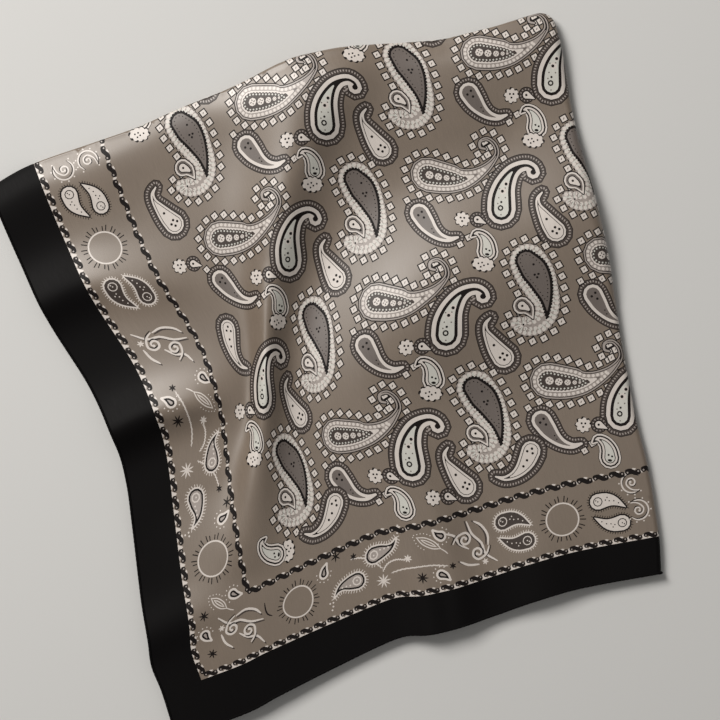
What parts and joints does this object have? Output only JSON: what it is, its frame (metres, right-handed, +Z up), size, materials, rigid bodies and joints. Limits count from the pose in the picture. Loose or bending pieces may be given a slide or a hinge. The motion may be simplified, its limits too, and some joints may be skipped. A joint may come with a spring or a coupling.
{
  "type": "folded square scarf",
  "caption": "Square satin scarf with a printed paisley field and a plain border, folded in quarters and lying face up with soft folds.",
  "frame": {"origin": "middle of the part's box, on the surface that the folded scarf lies on", "axes": "+X along the bottom hem towards the right fold, +Y along the left hem towards the top fold, +Z up out of the face of the cloth"},
  "size_m": [0.4512, 0.4696, 0.028],
  "materials": {
    "printed_satin": "satin, taupe ground with a print in black, grey and off-white",
    "border_satin": "satin, black border of the hidden layers",
    "hem_satin": "satin, black rolled hem"
  },
  "bodies": {
    "root": {"top_layer": "printed_satin", "hidden_layers": "border_satin", "hem_left": "hem_satin", "hem_bottom": "hem_satin"}
  },
  "joints": []
}
